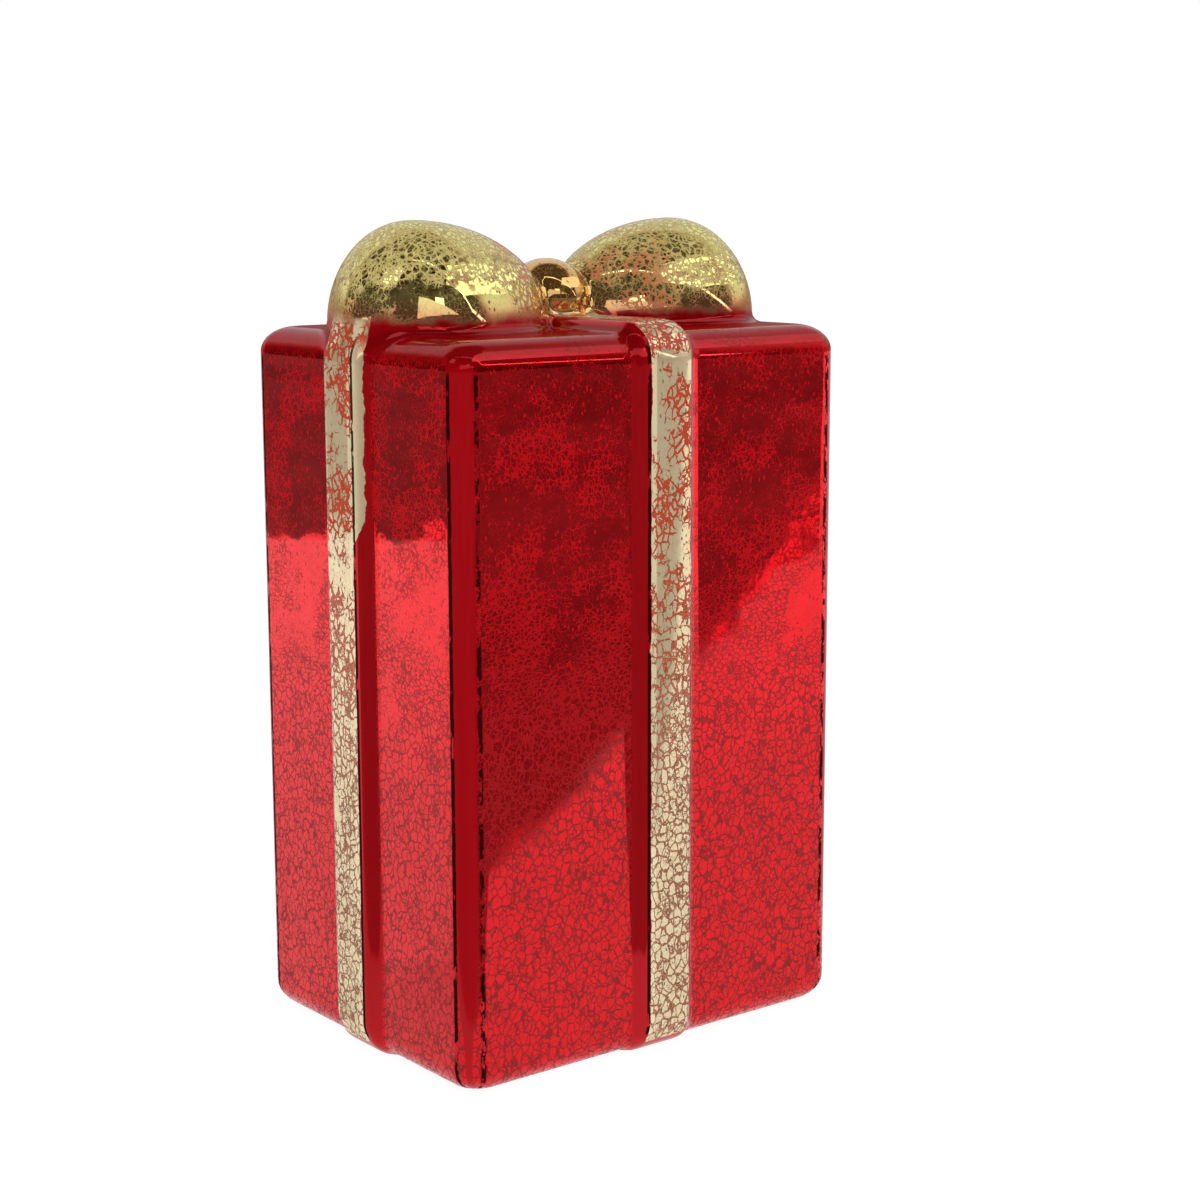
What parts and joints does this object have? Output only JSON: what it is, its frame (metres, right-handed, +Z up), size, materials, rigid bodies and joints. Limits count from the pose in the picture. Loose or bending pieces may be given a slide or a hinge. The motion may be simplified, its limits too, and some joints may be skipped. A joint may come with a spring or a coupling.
{
  "type": "lighted glass gift box",
  "caption": "Battery-lit gift box of silvered red blown glass with gold ribbons and a bow, a plastic base with battery door and timer switch, and LED string inside.",
  "frame": {"origin": "centre of the foot rim, on the surface that the box stands on", "axes": "+Z up, +X along the wide face, -Y out of the wide front face"},
  "size_m": [0.125, 0.0984, 0.2068],
  "materials": {
    "lacquered_glass": "crackled silvering behind clear glass, red lacquer with gold ribbons and bow",
    "gasket_silicone": "translucent matte",
    "base_plastic": "fine moulded texture",
    "tray_plastic": "smooth moulded",
    "battery_jacket": "printed film jacket with a plain band",
    "contact_nickel": "nickel-plated spring steel",
    "foam": "closed-cell foam",
    "board_green": "solder mask",
    "chip_black": "moulded epoxy",
    "capacitor_sleeve": "shrink sleeve with aluminium top",
    "resistor_body": "satin",
    "switch_steel": "tinned steel shell",
    "knob_plastic": "satin",
    "screw_steel": "zinc plated",
    "cover_plastic": "smooth white moulding",
    "clear_tube": "clear acrylic",
    "copper_wire": "enamelled copper",
    "led_resin": "clear resin drops over warm LEDs",
    "lead_black": "PVC insulation",
    "lead_red": "PVC insulation"
  },
  "bodies": {
    "box": {"base_gasket": "gasket_silicone", "base_plate": "base_plastic", "battery_1": "battery_jacket", "battery_2": "battery_jacket", "battery_3": "battery_jacket", "battery_tray": "tray_plastic", "board_screws": "screw_steel", "capacitor": "capacitor_sleeve", "circuit_board": "board_green", "cover_screws": "screw_steel", "front_bridge_contact": "contact_nickel", "glass_shell": "lacquered_glass", "inner_cover": "cover_plastic", "led_beads": "led_resin", "led_lead": "copper_wire", "led_wire": "copper_wire", "light_tube": "clear_tube", "negative_contact": "contact_nickel", "negative_lead": "lead_black", "positive_contact": "contact_nickel", "positive_lead": "lead_red", "rear_bridge_contact": "contact_nickel", "resistors": "resistor_body", "switch_housing": "switch_steel", "timer_chip": "chip_black", "tray_screws": "screw_steel"},
    "battery_door": {"battery_door": "base_plastic", "door_foam_pad": "foam"},
    "switch_knob": {"switch_knob": "knob_plastic"}
  },
  "joints": [
    {"name": "battery_door_hinge", "type": "hinge", "parent": "box", "child": "battery_door", "pos_m": [-0.0385, 0, 0.0031], "axis": [0, 1, 0], "range_deg": [0, 85]},
    {"name": "timer_switch_slide", "type": "slide", "parent": "box", "child": "switch_knob", "axis": [0, 1, 0], "range_m": [-0.002, 0.002]}
  ]
}
